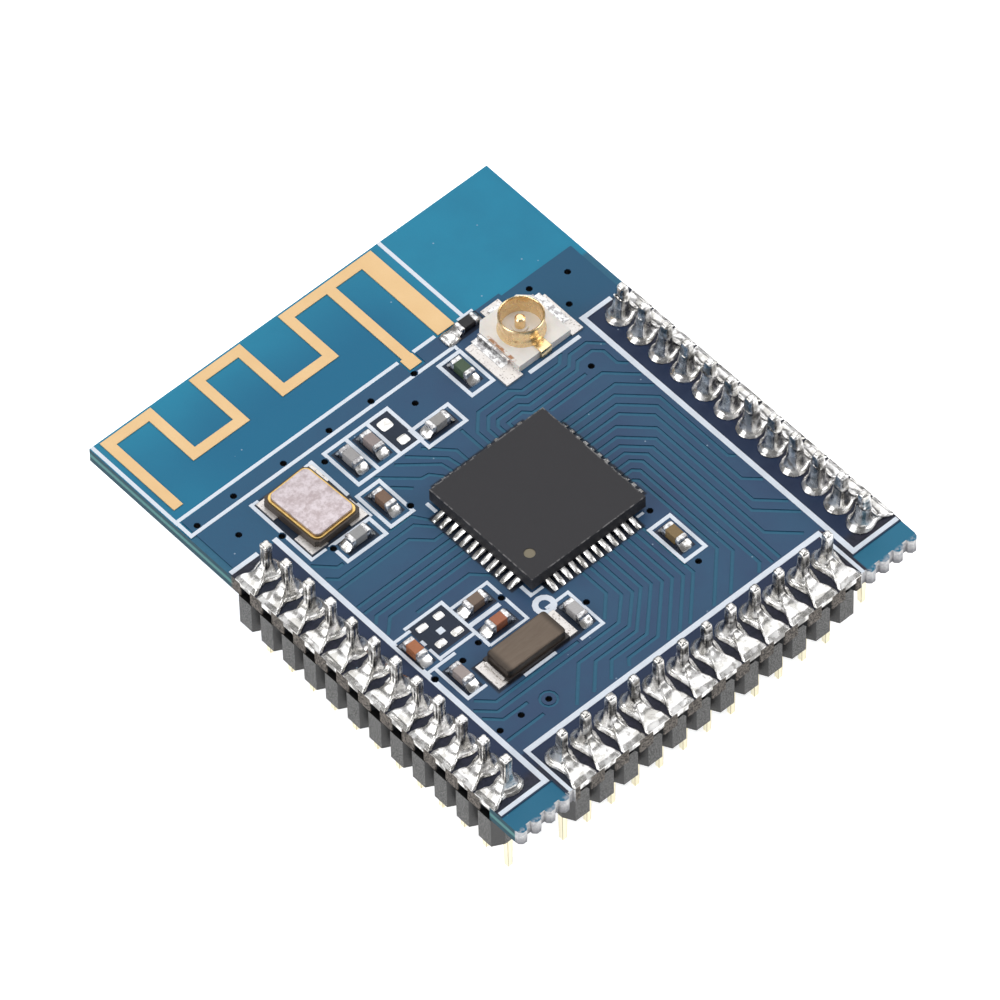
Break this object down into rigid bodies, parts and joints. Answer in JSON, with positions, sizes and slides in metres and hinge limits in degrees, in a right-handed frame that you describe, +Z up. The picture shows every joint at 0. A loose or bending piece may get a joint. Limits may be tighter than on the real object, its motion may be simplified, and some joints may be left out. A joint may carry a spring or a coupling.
{
  "type": "bluetooth module",
  "caption": "Small blue radio module: printed meander antenna, coaxial antenna socket, leadless chip, crystals, chip parts and pin headers soldered along its castellated edges.",
  "frame": {"origin": "under the middle of the outline, at the height of the pin tips", "axes": "+X to the module's right, +Y towards the antenna edge, +Z up out of the component side"},
  "size_m": [0.0212, 0.0253, 0.0071],
  "materials": {
    "board": "satin blue solder mask over glass-cloth laminate",
    "antenna_gold": "matte gold-plated copper",
    "print_white": "matte white ink",
    "solder": "bright tin solder, dull in the grooves",
    "header_plastic": "moulded black plastic, finely grained",
    "header_pin": "pale gold-plated pin",
    "chip_plastic": "matte dark grey moulding",
    "lead_metal": "tinned metal",
    "crystal_ceramic": "dark fired ceramic",
    "crystal_gold": "satin gold",
    "crystal_lid_metal": "satin nickel-plated lid",
    "clock_ceramic": "black fired ceramic",
    "clock_lid_metal": "brown-grey satin metal lid",
    "socket_plastic": "off-white moulded plastic",
    "socket_gold": "bright gold-plated ring and contact",
    "ceramic_light": "light grey fired ceramic",
    "ceramic_pink": "pinkish grey fired ceramic",
    "ceramic_brown": "brown fired ceramic",
    "ceramic_orange": "orange-brown fired ceramic",
    "ceramic_green": "dark green coated coil",
    "ceramic_black": "black glazed resistor"
  },
  "bodies": {
    "root": {"antenna_inductor": "ceramic_green", "antenna_link_resistor": "ceramic_black", "antenna_solder_joint": "solder", "antenna_trace": "antenna_gold", "chip_body": "chip_plastic", "chip_leads": "lead_metal", "chip_solder": "solder", "circuit_board": "board", "clock_capacitor_left": "ceramic_light", "clock_capacitor_right": "ceramic_light", "clock_crystal_base": "clock_ceramic", "clock_crystal_lid": "clock_lid_metal", "clock_crystal_solder": "solder", "core_capacitor": "ceramic_brown", "crystal_base": "crystal_ceramic", "crystal_capacitor_front": "ceramic_light", "crystal_capacitor_right": "ceramic_brown", "crystal_lid": "crystal_lid_metal", "crystal_seal_ring": "crystal_gold", "crystal_solder": "solder", "empty_pads": "solder", "end_cap_solder": "solder", "end_caps": "lead_metal", "front_header_housing": "header_plastic", "front_header_pins": "header_pin", "front_pin_solder": "solder", "left_header_housing": "header_plastic", "left_header_pins": "header_pin", "left_pin_solder": "solder", "matching_part_left": "ceramic_light", "matching_part_middle": "ceramic_pink", "matching_part_right": "ceramic_light", "right_header_housing": "header_plastic", "right_header_pins": "header_pin", "right_pin_solder": "solder", "silkscreen": "print_white", "socket_base": "socket_plastic", "socket_contact": "socket_gold", "socket_ground_tabs": "lead_metal", "socket_shell": "socket_gold", "socket_signal_tab": "lead_metal", "socket_solder": "solder", "supply_capacitor_left": "ceramic_orange", "supply_capacitor_lower": "ceramic_orange", "supply_capacitor_upper": "ceramic_brown"}
  },
  "joints": []
}
